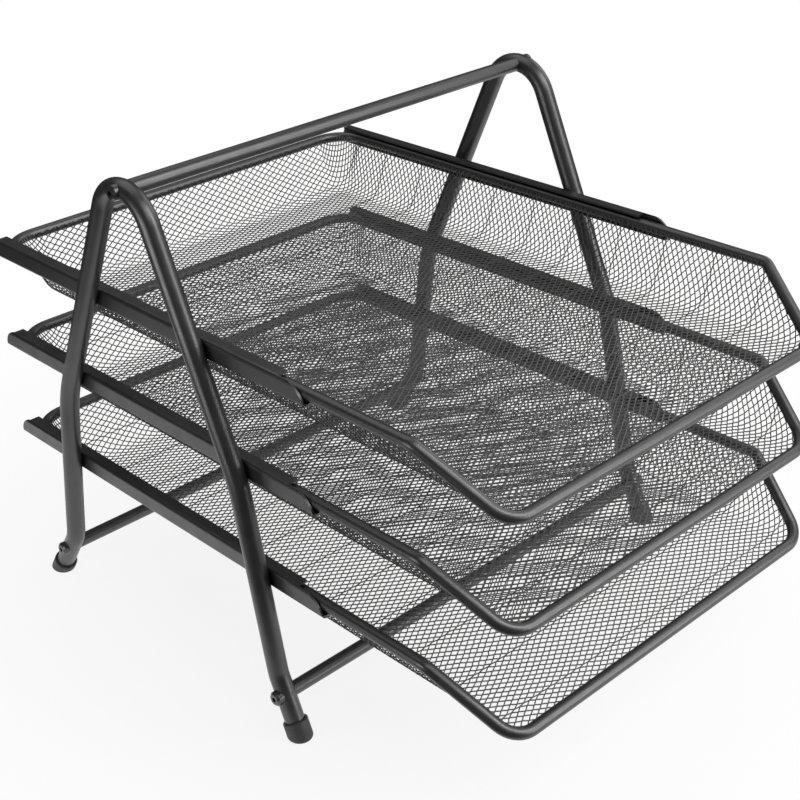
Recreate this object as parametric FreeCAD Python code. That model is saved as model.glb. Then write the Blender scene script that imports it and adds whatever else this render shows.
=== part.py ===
import FreeCAD, Part
import math
import os

V = FreeCAD.Vector

# Tray outline on the centreline of its rim
tray_width = 253.0
tray_depth = 378.0
tray_fall = 29.5
wall_lean = 16.0
slope_run = 41.0
rear_corner_radius = 20.0
floor_corner_radius = 16.0
front_corner_radius = 15.0
slope_bend_radius = 6.0
floor_bend_radius = 12.0
rim_diameter = 6.2
mesh_thickness = 0.6

# Coarse lattice of diamond openings, in place of the fine diamonds of the pressed mesh
floor_diamonds_across = 6
floor_diamonds_along = 14
side_wall_diamonds = 12
rear_wall_diamonds = 8
strand_share = 0.22

# Stack of trays
tray_pitch = 57.2
lowest_rim_height = 85.0

# Folded rails that the rims slide in
rail_sheet = 1.2
rail_bend_radius = 0.6
rail_top_lip = 7.0
rail_bottom_lip = 6.0
rail_headroom = 1.2
slide_clearance = 0.5
rail_length = 275.0
rail_nose_run = 19.0
rail_tail_run = 8.0

# Side tubes, with depth and height of the corners of their bent path
leg_diameter = 10.5
leg_wall = 1.2
weld_seat = 0.4
apex_depth = 33.5
apex_height = 302.0
apex_radius = 21.5
front_knee_depth = -32.5
front_knee_height = 136.5
rear_knee_depth = 120.5
rear_knee_height = 131.5
knee_radius = 90.0
kick_height = 33.0
front_kick_depth = -48.5
rear_kick_depth = 139.5
kick_radius = 20.0
front_foot_kick = 13.5
rear_foot_kick = 23.5

# Bars across the stand
handle_diameter = 8.0
cross_bar_diameter = 7.5
bar_place_share = 0.31

# Screws that hold the bars in tapped holes in their ends
screw_diameter = 4.0
screw_reach = 12.0
screw_hole_clearance = 0.4
tap_past_screw = 3.0
head_diameter = 8.0
head_height = 2.3
head_bevel = 1.1
socket_span = 3.0
socket_depth = 1.4

# Rubber caps on the feet
cap_wall = 1.3
cap_length = 10.0
cap_sole = 3.2
cap_bevel = 0.6
sole_round = 1.6

# Length by which cutting shapes pass the faces they cut
overrun = 5.0

# Point of a quarter arc, as shares of its two half axes
arc_run_share = 1 - math.sqrt(0.5)
arc_rise_share = math.sqrt(0.5)

# Corners of a six-sided socket, as turns
six_turns = [step * math.pi / 3 for step in range(6)]

# Sizes that follow from the values above
rim_radius = rim_diameter / 2
leg_radius = leg_diameter / 2
half_width = tray_width / 2
front_depth = -tray_depth / 2
rear_depth = tray_depth / 2
slope_depth = front_depth + slope_run
wall_turn = math.atan2(tray_fall, wall_lean)
floor_inset = wall_lean + floor_bend_radius * math.tan(wall_turn / 2)
floor_half = half_width - floor_inset
floor_rear = rear_depth - floor_inset
floor_front = front_depth + rim_radius
wall_low = floor_bend_radius * (1 - math.cos(wall_turn)) - tray_fall
wall_high = -rim_radius
web_inner = half_width + rim_radius + slide_clearance
web_outer = web_inner + rail_sheet
rail_top = rim_radius + rail_headroom + rail_sheet
rail_bottom = -rim_radius - slide_clearance - rail_sheet
rail_rear = rear_depth + rim_radius
rail_front = rail_rear - rail_length
leg_side = web_outer + leg_radius - weld_seat
front_foot_depth = front_kick_depth - front_foot_kick
rear_foot_depth = rear_kick_depth + rear_foot_kick
sides = {"left": -1, "right": 1}
levels = ("bottom", "middle", "top")


# A run of straight lines with a round bend at every inner corner
def bent_path(points, radii):
    edges = []
    start = points[0]
    for before, corner, after, radius in zip(points, points[1:], points[2:], radii):
        to_before = (before - corner).normalize()
        to_after = (after - corner).normalize()
        half_angle = to_before.getAngle(to_after) / 2
        reach = radius / math.tan(half_angle)
        bend_in = corner + to_before * reach
        bend_out = corner + to_after * reach
        bisector = (to_before + to_after).normalize()
        middle = corner + bisector * (radius / math.sin(half_angle) - radius)
        edges.append(Part.makeLine(start, bend_in))
        edges.append(Part.Arc(bend_in, middle, bend_out).toShape())
        start = bend_out
    edges.append(Part.makeLine(start, points[-1]))
    return Part.Wire(edges)


# A round rod that follows a path
def swept_rod(path, diameter):
    first = path.Edges[0]
    start = first.valueAt(first.FirstParameter)
    along = first.tangentAt(first.FirstParameter)
    ring = Part.Wire(Part.makeCircle(diameter / 2, start, along))
    return path.makePipeShell([ring], True, False)


# A cylinder between two points
def rod_between(start, end, diameter):
    along = end - start
    return Part.makeCylinder(diameter / 2, along.Length, start, along)


# The rim of one tray, bent from one rod: level sides, sloping arms, low front
def tray_rim():
    points = [
        V(0, rear_depth, 0),
        V(half_width, rear_depth, 0),
        V(half_width, slope_depth, 0),
        V(half_width - wall_lean, front_depth, -tray_fall),
        V(0, front_depth, -tray_fall),
    ]
    radii = [rear_corner_radius, slope_bend_radius, front_corner_radius]
    half = swept_rod(bent_path(points, radii), rim_diameter)
    whole = half.fuse(half.mirror(V(), V(1, 0, 0)))
    return whole.removeSplitter()


# Outline of the pan at one height, open corners at the front because that end is cut off
def pan_outline(half, rear, front, radius, height):
    points = [
        V(-half, front, height),
        V(-half, rear, height),
        V(half, rear, height),
        V(half, front, height),
    ]
    around = bent_path(points, [radius, radius])
    closing = Part.makeLine(points[-1], points[0])
    return Part.Wire(around.Edges + [closing])


# A block in the shape of the pan, moved out from the middle of its sheet
def pan_block(outset):
    lean_length = math.hypot(wall_lean, tray_fall)
    flat_outset = outset * lean_length / tray_fall
    floor_shift = outset * wall_lean / tray_fall
    front = front_depth - slope_run
    top = pan_outline(half_width + flat_outset, rear_depth + flat_outset, front,
                      rear_corner_radius + outset, 0)
    low = pan_outline(half_width - wall_lean + flat_outset - floor_shift,
                      rear_depth - wall_lean + flat_outset - floor_shift, front,
                      floor_corner_radius + outset, -tray_fall - outset)
    block = Part.makeLoft([low, top], True, True)
    floor_height = block.BoundBox.ZMin
    bends = []
    for edge in block.Edges:
        box = edge.BoundBox
        at_floor = box.ZMax < floor_height + mesh_thickness / 2
        if at_floor and box.YMax > front + overrun:
            bends.append(edge)
    return block.makeFillet(floor_bend_radius + outset, bends)


# Everything above the sloping front of a tray
def slope_cutter():
    reach = 2 * half_width + overrun
    outline = [
        V(-reach, slope_depth, 0),
        V(-reach, slope_depth - 3 * slope_run, -3 * tray_fall),
        V(-reach, slope_depth - 3 * slope_run, overrun),
        V(-reach, slope_depth, overrun),
    ]
    face = Part.Face(Part.makePolygon(outline + outline[:1]))
    return face.extrude(V(2 * reach, 0, 0))


# A block through the sheet, with the outline of one diamond opening in its cell of the lattice
def diamond_block(centre, half_long, half_short, through):
    long_reach = half_long * (1 - strand_share)
    short_reach = half_short * (1 - strand_share)
    corners = [centre + long_reach, centre + short_reach, centre - long_reach, centre - short_reach]
    return Part.Face(Part.makePolygon(corners + corners[:1])).extrude(through)


# Staggered rows of diamonds in the flat of the floor
def floor_openings():
    half_long = V(floor_half / floor_diamonds_across, 0, 0)
    half_short = V(0, (floor_rear - floor_front) / floor_diamonds_along / 2, 0)
    first = V(-floor_half, floor_front, -tray_fall - overrun)
    blocks = []
    for row in range(1, 2 * floor_diamonds_along):
        for column in range(1 + (row + 1) % 2, 2 * floor_diamonds_across, 2):
            centre = first + half_long * column + half_short * row
            blocks.append(diamond_block(centre, half_long, half_short, V(0, 0, 2 * overrun)))
    return blocks


# One row of diamonds along each of the three walls
def wall_openings():
    middle = (wall_low + wall_high) / 2
    half_short = V(0, 0, (wall_high - wall_low) / 2)
    through = wall_lean + 2 * overrun
    side_half = V(0, (rear_depth - rear_corner_radius - slope_depth) / side_wall_diamonds / 2, 0)
    rear_half = V((half_width - rear_corner_radius) / rear_wall_diamonds, 0, 0)
    blocks = []
    for side in sides.values():
        first = V(side * (half_width + overrun), slope_depth, middle)
        for cell in range(1, 2 * side_wall_diamonds, 2):
            centre = first + side_half * cell
            blocks.append(diamond_block(centre, side_half, half_short, V(-side * through, 0, 0)))
    first = V(rear_corner_radius - half_width, rear_depth + overrun, middle)
    for cell in range(1, 2 * rear_wall_diamonds, 2):
        centre = first + rear_half * cell
        blocks.append(diamond_block(centre, rear_half, half_short, V(0, -through, 0)))
    return blocks


# The pressed basket of one tray: floor, rear wall and two side walls from one sheet
def tray_basket():
    sheet = pan_block(mesh_thickness / 2).cut(pan_block(-mesh_thickness / 2))
    sheet = sheet.cut(slope_cutter())
    return sheet.cut(Part.Compound(floor_openings() + wall_openings()))


# Folded rail with lips that point at the tray
def rail_profile(side):
    tip_top = web_outer - rail_top_lip
    tip_bottom = web_outer - rail_bottom_lip
    outer_bend = rail_bend_radius + rail_sheet
    outer_points = [(tip_top, rail_top), (web_outer, rail_top),
                    (web_outer, rail_bottom), (tip_bottom, rail_bottom)]
    inner_points = [(tip_top, rail_top - rail_sheet), (web_inner, rail_top - rail_sheet),
                    (web_inner, rail_bottom + rail_sheet), (tip_bottom, rail_bottom + rail_sheet)]
    outer = [V(side * x, rail_front, z) for x, z in outer_points]
    inner = [V(side * x, rail_front, z) for x, z in inner_points]
    edges = bent_path(outer, [outer_bend, outer_bend]).Edges
    edges += bent_path(inner, [rail_bend_radius, rail_bend_radius]).Edges
    edges.append(Part.makeLine(outer[0], inner[0]))
    edges.append(Part.makeLine(outer[-1], inner[-1]))
    return Part.Face(Part.Wire(Part.__sortEdges__(edges)))


# Outline of a rail seen from the side, with a long round nose and a short round tail
def rail_side_outline():
    rise = rail_top - rail_bottom
    nose_middle = V(0, rail_front + rail_nose_run * arc_run_share, rail_bottom + rise * arc_rise_share)
    tail_middle = V(0, rail_rear - rail_tail_run * arc_run_share, rail_bottom + rise * arc_rise_share)
    nose_top = V(0, rail_front + rail_nose_run, rail_top)
    tail_top = V(0, rail_rear - rail_tail_run, rail_top)
    nose_low = V(0, rail_front, rail_bottom)
    tail_low = V(0, rail_rear, rail_bottom)
    edges = [
        Part.Arc(nose_low, nose_middle, nose_top).toShape(),
        Part.makeLine(nose_top, tail_top),
        Part.Arc(tail_top, tail_middle, tail_low).toShape(),
        Part.makeLine(tail_low, nose_low),
    ]
    return Part.Face(Part.Wire(edges))


# One rail, placed at the height of the middle of its rim, its top lip ending square at nose and tail
def side_rail(side, height):
    channel = rail_profile(side).extrude(V(0, rail_length, 0))
    reach = side * (web_outer + overrun)
    outline = rail_side_outline().extrude(V(reach, 0, 0))
    rail = channel.common(outline)
    lip_start = web_inner - rail_top_lip if side > 0 else -web_inner
    for start, run in ((rail_front, rail_nose_run), (rail_rear - rail_tail_run, rail_tail_run)):
        rail = rail.cut(Part.makeBox(rail_top_lip, run, rail_top, V(lip_start, start, 0)))
    rail.translate(V(0, 0, height))
    return rail


# Corners of the side tube's path, from one foot over the apex to the other foot
def leg_points(side):
    x = side * leg_side
    return [
        V(x, front_foot_depth, 0),
        V(x, front_kick_depth, kick_height),
        V(x, front_knee_depth, front_knee_height),
        V(x, apex_depth, apex_height),
        V(x, rear_knee_depth, rear_knee_height),
        V(x, rear_kick_depth, kick_height),
        V(x, rear_foot_depth, 0),
    ]


# The path itself, ending above the sole of the rubber caps
def leg_path(side):
    points = leg_points(side)
    ends = []
    for foot, kick in ((points[0], points[1]), (points[-1], points[-2])):
        up = (kick - foot).normalize()
        ends.append(foot + up * (cap_sole / up.z))
    bent = [ends[0]] + points[1:-1] + [ends[1]]
    return bent_path(bent, [kick_radius, knee_radius, apex_radius, knee_radius, kick_radius])


# Centre of the tube at the top of its bend
def apex_centre(side):
    points = leg_points(side)
    apex = points[3]
    down_front = (points[2] - apex).normalize()
    down_rear = (points[4] - apex).normalize()
    half_angle = down_front.getAngle(down_rear) / 2
    bisector = (down_front + down_rear).normalize()
    return apex + bisector * (apex_radius / math.sin(half_angle) - apex_radius)


# Centre of the tube where a cross bar meets it
def bar_centre(side, kick, foot):
    points = leg_points(side)
    return points[kick] + (points[foot] - points[kick]) * bar_place_share


# The three places where a bar is screwed to each side tube
def joint_centres(side):
    return {
        "handle_bar": apex_centre(side),
        "front_cross_bar": bar_centre(side, 1, 0),
        "rear_cross_bar": bar_centre(side, -2, -1),
    }


# One side tube with its screw holes and the flats where the rails are welded on
def side_tube(side, rails):
    path = leg_path(side)
    tube = swept_rod(path, leg_diameter)
    tube = tube.cut(swept_rod(path, leg_diameter - 2 * leg_wall))
    for centre in joint_centres(side).values():
        reach = V(leg_diameter, 0, 0)
        tube = tube.cut(rod_between(centre - reach, centre + reach, screw_diameter + screw_hole_clearance))
    for rail in rails:
        box = rail.BoundBox
        inner_face = side * web_outer
        seat = Part.makeBox(leg_diameter, box.YLength, box.ZLength, V(0, box.YMin, box.ZMin))
        seat.translate(V(inner_face - leg_diameter if side > 0 else inner_face, 0, 0))
        tube = tube.cut(seat)
    return tube


# A bar between the side tubes, its ends shaped to the round tubes and tapped for screws
def bar_between(name, diameter):
    left = joint_centres(-1)[name]
    right = joint_centres(1)[name]
    bar = rod_between(left, right, diameter)
    for side, centre in ((-1, left), (1, right)):
        bar = bar.cut(swept_rod(leg_path(side), leg_diameter))
        tap_end = screw_tip(name, side) - V(side * tap_past_screw, 0, 0)
        bar = bar.cut(rod_between(centre, tap_end, screw_diameter))
    return bar


# End of a screw inside its bar
def screw_tip(name, side):
    return joint_centres(side)[name] - V(side * (leg_radius + screw_reach), 0, 0)


# A screw with a six-sided socket in its head, through the side tube into a bar
def bar_screw(name, side):
    centre = joint_centres(side)[name]
    outward = V(side, 0, 0)
    crown = centre + outward * (leg_radius + head_height)
    head = rod_between(centre, crown, head_diameter)
    crown_edges = [e for e in head.Edges if abs(e.BoundBox.Center.x - crown.x) < head_bevel and e.Closed]
    head = head.makeChamfer(head_bevel, crown_edges)
    head = head.cut(swept_rod(leg_path(side), leg_diameter))
    neck = centre + outward * (leg_radius + head_height / 2)
    screw = head.fuse(rod_between(neck, screw_tip(name, side), screw_diameter))
    corners = [V(0, math.cos(turn), math.sin(turn)) * (socket_span / 2) for turn in six_turns]
    socket = Part.Face(Part.makePolygon(corners + corners[:1]))
    socket.translate(crown)
    return screw.cut(socket.extrude(outward * -socket_depth))


# A rubber cap on the end of one leg, cut flat where it stands, with a rounded edge to its sole
def foot_cap(side, kick, foot):
    points = leg_points(side)
    up = (points[kick] - points[foot]).normalize()
    low = points[foot] - up * leg_diameter
    top = points[foot] + up * cap_length
    cap = rod_between(low, top, leg_diameter + 2 * cap_wall)
    rings = [e for e in cap.Edges if e.Closed and (e.BoundBox.Center - top).Length < cap_wall]
    cap = cap.makeChamfer(cap_bevel, rings)
    reach = 3 * leg_diameter
    ground = Part.makeBox(2 * reach, 2 * reach, reach, points[foot] - V(reach, reach, reach))
    cap = cap.cut(ground)
    sole_edges = [e for e in cap.Edges if e.BoundBox.ZMax < sole_round / 2]
    cap = cap.makeFillet(sole_round, sole_edges)
    tube_end = points[foot] + up * (cap_sole / up.z)
    return cap.cut(rod_between(tube_end, top + up * overrun, leg_diameter))


# All pieces by name
def build():
    nodes = {}
    rim = tray_rim()
    basket = tray_basket().cut(rim)
    for step, level in enumerate(levels):
        height = lowest_rim_height + step * tray_pitch
        for name, shape in (("rim", rim), ("basket", basket)):
            piece = shape.copy()
            piece.translate(V(0, 0, height))
            nodes["tray_" + level + "_" + name] = piece
        for side_name, side in sides.items():
            nodes[side_name + "_rail_" + level] = side_rail(side, height)
    for side_name, side in sides.items():
        rails = [nodes[side_name + "_rail_" + level] for level in levels]
        nodes[side_name + "_side_tube"] = side_tube(side, rails)
        nodes["foot_front_" + side_name] = foot_cap(side, 1, 0)
        nodes["foot_rear_" + side_name] = foot_cap(side, -2, -1)
    diameters = {
        "handle_bar": handle_diameter,
        "front_cross_bar": cross_bar_diameter,
        "rear_cross_bar": cross_bar_diameter,
    }
    screws = []
    for name, diameter in diameters.items():
        nodes[name] = bar_between(name, diameter)
        for side in sides.values():
            screws.append(bar_screw(name, side))
    nodes["bar_screws"] = Part.Compound(screws)
    return nodes


os.makedirs("parts", exist_ok=True)
for node_name, node_shape in build().items():
    node_shape.exportStep("parts/" + node_name + ".step")
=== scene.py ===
import math
import random

import bpy
from mathutils import Matrix, Vector


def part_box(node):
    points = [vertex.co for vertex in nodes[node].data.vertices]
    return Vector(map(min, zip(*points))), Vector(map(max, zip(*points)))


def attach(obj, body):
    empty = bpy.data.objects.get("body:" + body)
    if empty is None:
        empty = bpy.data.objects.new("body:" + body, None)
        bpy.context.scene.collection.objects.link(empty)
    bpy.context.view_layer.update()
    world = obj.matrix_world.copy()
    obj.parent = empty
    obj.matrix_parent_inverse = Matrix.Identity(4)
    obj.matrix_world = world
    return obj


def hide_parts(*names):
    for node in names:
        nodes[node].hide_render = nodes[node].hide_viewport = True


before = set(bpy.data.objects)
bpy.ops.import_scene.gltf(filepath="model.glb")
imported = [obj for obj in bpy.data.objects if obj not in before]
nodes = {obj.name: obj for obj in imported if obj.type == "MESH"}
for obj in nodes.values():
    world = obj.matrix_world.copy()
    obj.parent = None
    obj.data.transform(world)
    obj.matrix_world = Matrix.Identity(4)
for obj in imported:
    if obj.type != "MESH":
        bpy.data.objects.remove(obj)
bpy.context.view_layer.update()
levels = ("bottom", "middle", "top")

# Sizes of a tray, in millimetres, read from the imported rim
rim_low, rim_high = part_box("tray_bottom_rim")
rim_radius = 3.1
half_width = (rim_high.x - rim_low.x) * 500 - rim_radius
rear_depth = rim_high.y * 1000 - rim_radius
front_depth = rim_low.y * 1000 + rim_radius
tray_fall = (rim_high.z - rim_low.z) * 1000 - 2 * rim_radius
wall_lean = 16.0
slope_run = 41.0
rear_corner_radius = 20.0

# Sizes of the pressed diamond mesh, in millimetres
diamond_across = 5.75
diamond_along = 3.716
diamond_skew = 0.129
feed_rows = 18
feed_squeeze = 1.15
strand_width = 0.55
strand_thickness = 0.3
strand_tilt = math.radians(26)
bond_length = 0.8
bond_wander = 0.18
sheet_wander = 0.6
sheet_turns = [math.radians(a) for a in (-0.7, 0.9, -0.1)]
sheet_stretches = (1.0, 1.012, 0.99)
floor_bend = 12.0
rim_inset = 3.3
rim_overlap = 0.9
lead_rows = 3
spare_rows = 8
spare_columns = 18
edge_halvings = 18

# The mesh wall runs up the inside of the rim, so it leans a little less than the rim's own plane
wall_angle = math.atan2(tray_fall + rim_overlap, wall_lean - rim_inset)
tangent_run = floor_bend * math.tan(wall_angle / 2)
core_half = half_width - wall_lean - tangent_run
core_rear = rear_depth - wall_lean - tangent_run
bend_length = floor_bend * wall_angle
wall_run = math.hypot(tray_fall + rim_overlap, wall_lean - rim_inset) - tangent_run
blank_reach = bend_length + wall_run
top_out = half_width - rim_inset - core_half


# How much further than on a straight wall the rim lies in one direction from the corner of the floor
def corner_stretch(east, north):
    if east < 1e-6 or north < 1e-6:
        return 0.0
    radius = rear_corner_radius - rim_inset
    centre = top_out - radius
    along = centre * (east + north)
    reach = along + math.sqrt(max(along * along - 2 * centre * centre + radius * radius, 0.0))
    return reach / top_out - 1


# Place on the pressed sheet of one place on the flat blank
def on_sheet(u, v):
    core_u = min(max(u, -core_half), core_half)
    core_v = min(v, core_rear)
    off_u, off_v = u - core_u, v - core_v
    run = math.hypot(off_u, off_v)
    if run < 1e-9:
        return Vector((core_u, core_v, -tray_fall)), 0.0
    if run < bend_length:
        out = floor_bend * math.sin(run / floor_bend)
        rise = floor_bend * (1 - math.cos(run / floor_bend))
    else:
        more = run - bend_length
        out = floor_bend * math.sin(wall_angle) + more * math.cos(wall_angle)
        rise = floor_bend * (1 - math.cos(wall_angle)) + more * math.sin(wall_angle)
    east, north = off_u / run, off_v / run
    out *= 1 + corner_stretch(abs(east), north) * min(run / blank_reach, 1.0)
    return Vector((core_u + out * east, core_v + out * north, rise - tray_fall)), run


# Whether one place on the blank lies within the rim and behind the sloping front
def in_sheet(u, v):
    place, run = on_sheet(u, v)
    if run > blank_reach:
        return False
    slope_depth = front_depth + slope_run
    return place.y >= slope_depth + min(place.z, 0.0) * slope_run / tray_fall


# Direction that the pressed sheet faces at one place on the blank
def sheet_normal(u, v):
    step = 0.02
    east = on_sheet(u + step, v)[0] - on_sheet(u - step, v)[0]
    north = on_sheet(u, v + step)[0] - on_sheet(u, v - step)[0]
    return east.cross(north).normalized()


# Last place inside the sheet between one inside and one outside
def edge_between(inside, outside):
    a, b = Vector(inside), Vector(outside)
    for _ in range(edge_halvings):
        middle = (a + b) / 2
        if in_sheet(middle.x, middle.y):
            a = middle
        else:
            b = middle
    return a.x, a.y


# Rows and half columns of the lattice of bonds where two strands meet
first_row_depth = front_depth - lead_rows * diamond_along
row_step = diamond_along / 2 - feed_squeeze / feed_rows
row_count = int((core_rear + blank_reach - first_row_depth) / row_step) + spare_rows
column_reach = int((core_half + blank_reach) / (diamond_across / 2)) + spare_columns


# Places of the bonds on the blank, each a little off the plain lattice, with a narrow row at each feed line
def bond_places(seed):
    dice = random.Random(seed)
    turn, stretch = sheet_turns[seed], sheet_stretches[seed]
    waves = [(dice.uniform(0.05, 0.11), dice.uniform(-0.07, 0.07), dice.uniform(0, 6.28)) for _ in range(6)]
    shift = dice.uniform(0, diamond_across)
    first_feed = dice.randrange(feed_rows)
    bonds = {}
    for row in range(row_count):
        for column in range(-column_reach, column_reach + 1):
            feeds = (row + first_feed) // feed_rows
            v = first_row_depth + row * diamond_along / 2 - feeds * feed_squeeze
            u = column * stretch * diamond_across / 2 + shift + diamond_skew * v
            u, v = u - turn * v, v + turn * u
            drift = [math.sin(a * u + b * v + start) for a, b, start in waves[:3]]
            creep = [math.sin(b * u + a * v + start) for a, b, start in waves[3:]]
            u += sheet_wander * sum(drift) / 3 + dice.uniform(-bond_wander, bond_wander)
            v += sheet_wander * sum(creep) / 3 + dice.uniform(-bond_wander, bond_wander)
            bonds[column, row] = (u, v)
    return bonds


# One strand from edge to edge of the sheet, stepping along each bond on its way
def strand_places(bonds, first_column, turn):
    line = []
    for row in range(row_count):
        place = bonds.get((first_column + turn * row, row))
        if place:
            u, v = place
            line.append((u - turn * bond_length / 2, v - strand_width / 3))
            line.append((u + turn * bond_length / 2, v + strand_width / 3))
    held = [i for i, place in enumerate(line) if in_sheet(*place)]
    if len(held) < 2:
        return []
    first, last = held[0], held[-1]
    places = line[first:last + 1]
    if first > 0:
        places.insert(0, edge_between(line[first], line[first - 1]))
    if last < len(line) - 1:
        places.append(edge_between(line[last], line[last + 1]))
    return places


# A flat strand with four sides, tilted a little out of the sheet and closed at both ends
def add_strand(places, tilt, verts, faces):
    half, thick = strand_width / 2, strand_thickness / 2
    corners = ((half, thick), (-half, thick), (-half, -thick), (half, -thick))
    points = [on_sheet(*place)[0] for place in places]
    start = len(verts)
    for i, place in enumerate(places):
        normal = sheet_normal(*place)
        tangent = (points[min(i + 1, len(points) - 1)] - points[max(i - 1, 0)]).normalized()
        side = tangent.cross(normal).normalized()
        lift = side.cross(tangent)
        flat = side * math.cos(tilt) + lift * math.sin(tilt)
        rise = lift * math.cos(tilt) - side * math.sin(tilt)
        verts += [(points[i] + flat * s + rise * h) / 1000 for s, h in corners]
    for i in range(len(places) - 1):
        low = start + i * 4
        for j in range(4):
            k = (j + 1) % 4
            faces.append((low + k, low + j, low + 4 + j, low + 4 + k))
    faces.append((start, start + 1, start + 2, start + 3))
    last = len(verts) - 1
    faces.append((last, last - 1, last - 2, last - 3))


# All strands of a tray that run the same way
def strand_mesh(name, seed, turn):
    bonds = bond_places(seed)
    verts, faces = [], []
    for first_column in range(-2 * row_count, 2 * row_count, 2):
        places = strand_places(bonds, first_column, turn)
        if places:
            add_strand(places, -turn * strand_tilt, verts, faces)
    mesh = bpy.data.meshes.new(name)
    mesh.from_pydata(verts, [], faces)
    mesh.update()
    return mesh


# Node helpers
def add_node(tree, kind, **inputs):
    node = tree.nodes.new(kind)
    for name, value in inputs.items():
        node.inputs[name.replace("_", " ")].default_value = value
    return node


def noise(tree, where, scale, detail=3.0):
    node = add_node(tree, "ShaderNodeTexNoise", Scale=scale, Detail=detail, Roughness=0.55)
    tree.links.new(where, node.inputs["Vector"])
    return node.outputs["Fac"]


def ramp(tree, factor, low, high, low_at=0.3, high_at=0.7):
    node = tree.nodes.new("ShaderNodeValToRGB")
    node.color_ramp.elements[0].position = low_at
    node.color_ramp.elements[1].position = high_at
    node.color_ramp.elements[0].color = (*low, 1.0)
    node.color_ramp.elements[1].color = (*high, 1.0)
    tree.links.new(factor, node.inputs["Fac"])
    return node.outputs["Color"]


def spread(tree, factor, low, high, low_from=0.3, high_from=0.7):
    node = add_node(tree, "ShaderNodeMapRange", From_Min=low_from, From_Max=high_from,
                    To_Min=low, To_Max=high)
    tree.links.new(factor, node.inputs["Value"])
    return node.outputs["Result"]


def mixed(tree, factor, first, second):
    node = tree.nodes.new("ShaderNodeMixShader")
    tree.links.new(factor, node.inputs[0])
    tree.links.new(first, node.inputs[1])
    tree.links.new(second, node.inputs[2])
    return node.outputs[0]


# A value that falls from one place to the edge of an oval around it
def pool(tree, where, **oval):
    mapping = add_node(tree, "ShaderNodeMapping", **oval)
    mapping.vector_type = "TEXTURE"
    tree.links.new(where, mapping.inputs["Vector"])
    fall = tree.nodes.new("ShaderNodeTexGradient")
    fall.gradient_type = "SPHERICAL"
    tree.links.new(mapping.outputs[0], fall.inputs["Vector"])
    return fall.outputs["Fac"]


# Satin powder coat: faint mottling, uneven gloss and the fine pebbled skin of baked powder
def coat(name, low, high, gloss, grain, bump, specular):
    material = bpy.data.materials.new(name)
    material.use_nodes = True
    tree = material.node_tree
    shader = tree.nodes["Principled BSDF"]
    shader.inputs["Specular IOR Level"].default_value = specular
    where = tree.nodes.new("ShaderNodeTexCoord").outputs["Object"]
    mottle = noise(tree, where, 60.0, 4.0)
    tree.links.new(ramp(tree, mottle, (low,) * 3, (high,) * 3), shader.inputs["Base Color"])
    tree.links.new(spread(tree, noise(tree, where, 140.0, 3.0), *gloss), shader.inputs["Roughness"])
    skin = add_node(tree, "ShaderNodeBump", Strength=bump, Distance=0.00015)
    tree.links.new(noise(tree, where, grain, 2.0), skin.inputs["Height"])
    tree.links.new(skin.outputs["Normal"], shader.inputs["Normal"])
    return material


# For each coat its darkest and lightest grey, range of roughness, scale and strength of the skin, and shine
coat_values = {
    "tube_coat": (0.010, 0.015, (0.32, 0.40), 1400.0, 0.25, 1.0),
    "rail_coat": (0.009, 0.013, (0.32, 0.40), 1400.0, 0.25, 1.0),
    "rim_coat": (0.012, 0.017, (0.34, 0.42), 1400.0, 0.25, 1.0),
    "mesh_coat": (0.010, 0.018, (0.42, 0.52), 1800.0, 0.2, 1.0),
    "screw_coat": (0.012, 0.018, (0.26, 0.36), 1600.0, 0.15, 1.0),
    "cap_rubber": (0.020, 0.028, (0.5, 0.6), 900.0, 0.35, 0.6),
}
coats = {name: coat(name, *values) for name, values in coat_values.items()}
slot_words = {
    "rim": "rim_coat",
    "rail": "rail_coat",
    "foot": "cap_rubber",
    "screw": "screw_coat",
    "basket": "mesh_coat",
}


# The coat that a piece wears, by its name
def slot_of(name):
    return next((slot for word, slot in slot_words.items() if word in name), "tube_coat")


for name, node in nodes.items():
    slot_name = slot_of(name)
    node.data.materials.clear()
    node.data.materials.append(coats[slot_name])

# The diamond mesh of the three trays
for seed, level in enumerate(levels):
    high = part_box("tray_%s_rim" % level)[1]
    for turn, hand in ((1, "right"), (-1, "left")):
        mesh = strand_mesh("tray_%s_strands_%s" % (level, hand), seed, turn)
        mesh.materials.append(coats["mesh_coat"])
        strands = bpy.data.objects.new(mesh.name, mesh)
        bpy.context.scene.collection.objects.link(strands)
        strands.location = (0.0, 0.0, high.z - rim_radius / 1000)
        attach(strands, "tray_" + level)
        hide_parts("tray_%s_basket" % level)

# Sizes of the studio, in metres
floor_half = 8.0
floor_drop = 0.0002
# Oval of the painted shade that greys the floor around the object
painted_shade_reach = (1.8, 2.0, 2.0)
# Place, turn and size of the oval on the floor that glows as a painted reflection
painted_reflection_place = (0.35, -0.20, 0.0)
painted_reflection_turn = (0.0, 0.0, math.radians(-45))
painted_reflection_size = (1.84, 0.76, 1.0)
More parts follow.
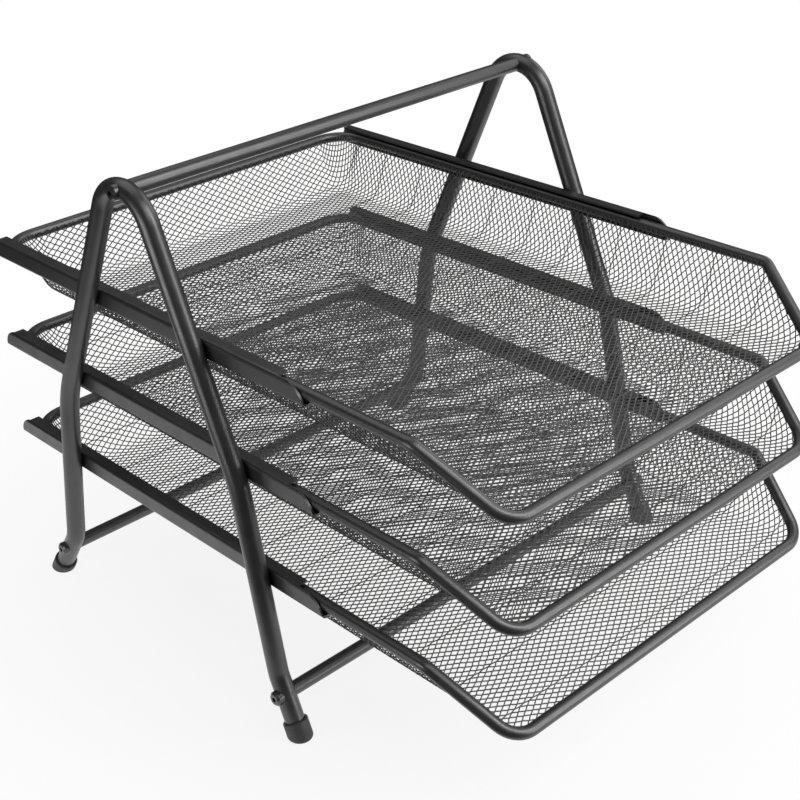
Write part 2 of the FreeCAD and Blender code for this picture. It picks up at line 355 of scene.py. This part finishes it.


# A pale floor: it holds the object's shadow and carries a painted shade that greys it near the object and
# fades to white around it; near the object it glows as a painted reflection and further out it shows dark
# in reflections
def pale_floor():
    material = bpy.data.materials.new("pale_floor")
    material.use_nodes = True
    tree = material.node_tree
    tree.nodes.clear()
    where = tree.nodes.new("ShaderNodeTexCoord").outputs["Object"]
    fleck = ramp(tree, noise(tree, where, 3.0), (0.88,) * 3, (0.92,) * 3)
    board = tree.nodes.new("ShaderNodeBsdfDiffuse")
    tree.links.new(fleck, board.inputs["Color"])
    glow = add_node(tree, "ShaderNodeEmission", Color=(1, 1, 1, 1), Strength=1.0)
    # Painted reflection: in reflections an oval near the object glows white like a lamp and the floor
    # beyond it shows nearly black
    painted_reflection_oval = pool(tree, where, Location=painted_reflection_place, Rotation=painted_reflection_turn, Scale=painted_reflection_size)
    painted_reflection_glow = add_node(tree, "ShaderNodeEmission", Strength=1.0)
    tree.links.new(ramp(tree, painted_reflection_oval, (0.06,) * 3, (1.0,) * 3, 0.47, 0.53), painted_reflection_glow.inputs["Color"])
    path = tree.nodes.new("ShaderNodeLightPath")
    # Painted shade: the camera sees a mix of the lit board, which holds the real shadow, and flat white,
    # greyer near the object and white further out
    painted_shade_fade = spread(tree, pool(tree, where, Scale=painted_shade_reach), 1.0, 0.86, 0.74, 0.93)
    floor_with_painted_shade = mixed(tree, painted_shade_fade, board.outputs[0], glow.outputs[0])
    board_with_painted_reflection = mixed(tree, path.outputs["Is Glossy Ray"], board.outputs[0], painted_reflection_glow.outputs[0])
    surface = mixed(tree, path.outputs["Is Camera Ray"], board_with_painted_reflection, floor_with_painted_shade)
    out = tree.nodes.new("ShaderNodeOutputMaterial")
    tree.links.new(surface, out.inputs["Surface"])
    return material


floor_mesh = bpy.data.meshes.new("studio_floor")
floor_corners = [(x * floor_half, y * floor_half, 0.0) for x, y in ((-1, -1), (1, -1), (1, 1), (-1, 1))]
floor_mesh.from_pydata(floor_corners, [], [(0, 1, 2, 3)])
floor_mesh.materials.append(pale_floor())
floor = bpy.data.objects.new("studio_floor", floor_mesh)
floor.location.z = -floor_drop
bpy.context.scene.collection.objects.link(floor)

# White world behind, a dim one for the light it gives
world = bpy.data.worlds.new("studio")
bpy.context.scene.world = world
world.use_nodes = True
tree = world.node_tree
tree.nodes.clear()
fill = add_node(tree, "ShaderNodeBackground", Color=(1.0, 1.0, 1.0, 1.0), Strength=0.08)
white = add_node(tree, "ShaderNodeBackground", Color=(1, 1, 1, 1), Strength=1.0)
path = tree.nodes.new("ShaderNodeLightPath")
out = tree.nodes.new("ShaderNodeOutputWorld")
backdrop = mixed(tree, path.outputs["Is Camera Ray"], fill.outputs[0], white.outputs[0])
tree.links.new(backdrop, out.inputs["Surface"])

# Soft boxes that face the middle of the object: place, width and height in metres, and power in watts
focus = (0.0, 0.0, 0.12)
lamps = {
    "key_box": ((0.595, -1.04, 1.08), 0.7, 1.05, 11.5),
    "front_box": ((-0.10, -0.82, 1.18), 1.0, 0.7, 6.0),
    "low_box": ((0.665, -1.27, 0.24), 0.7, 0.44, 5.8),
    "right_box": ((1.25, 0.0, 0.85), 1.0, 1.1, 5.0),
    "top_box": ((0.03, 0.55, 1.3), 1.3, 1.1, 4.5),
    "left_box": ((-1.00, 0.12, 0.18), 0.62, 0.34, 2.8),
}


# One soft box, which lights the object and isn't seen itself
def softbox(name, place, width, height, power):
    data = bpy.data.lights.new(name, "AREA")
    data.shape = "RECTANGLE"
    data.size, data.size_y = width, height
    data.energy = power
    lamp = bpy.data.objects.new(name, data)
    bpy.context.scene.collection.objects.link(lamp)
    lamp.location = place
    lamp.visible_camera = False
    lamp.rotation_mode = "QUATERNION"
    lamp.rotation_quaternion = (Vector(focus) - Vector(place)).to_track_quat("-Z", "Y")


for name, values in lamps.items():
    softbox(name, *values)

# Camera at the photograph's viewing angle, with its focal length and centre of view in pixels
frame_pixels = 800
focal_pixels = 1527.299
centre_across, centre_down = 456, 340
sensor_width = 36.0
camera_place = (-0.494111, -0.562614, 0.516179)
yaw, pitch, roll = (math.radians(a) for a in (-43.657, -25.938, -2.348))
ahead = Vector((-math.sin(yaw) * math.cos(pitch), math.cos(yaw) * math.cos(pitch), math.sin(pitch)))
right = Vector((math.cos(yaw), math.sin(yaw), 0.0))
up = right.cross(ahead)
across = right * math.cos(roll) + up * math.sin(roll)
upward = up * math.cos(roll) - right * math.sin(roll)
camera_data = bpy.data.cameras.new("camera")
camera_data.sensor_width = sensor_width
camera_data.lens = focal_pixels / frame_pixels * sensor_width
camera_data.shift_x = (frame_pixels / 2 - centre_across) / frame_pixels
camera_data.shift_y = (centre_down - frame_pixels / 2) / frame_pixels
camera_data.clip_start, camera_data.clip_end = 0.01, 50.0
camera = bpy.data.objects.new("camera", camera_data)
bpy.context.scene.collection.objects.link(camera)
camera_turn = Matrix((across, upward, -ahead)).transposed()
camera.matrix_world = Matrix.Translation(camera_place) @ camera_turn.to_4x4()
bpy.context.scene.camera = camera
bpy.context.scene.view_settings.view_transform = "Standard"
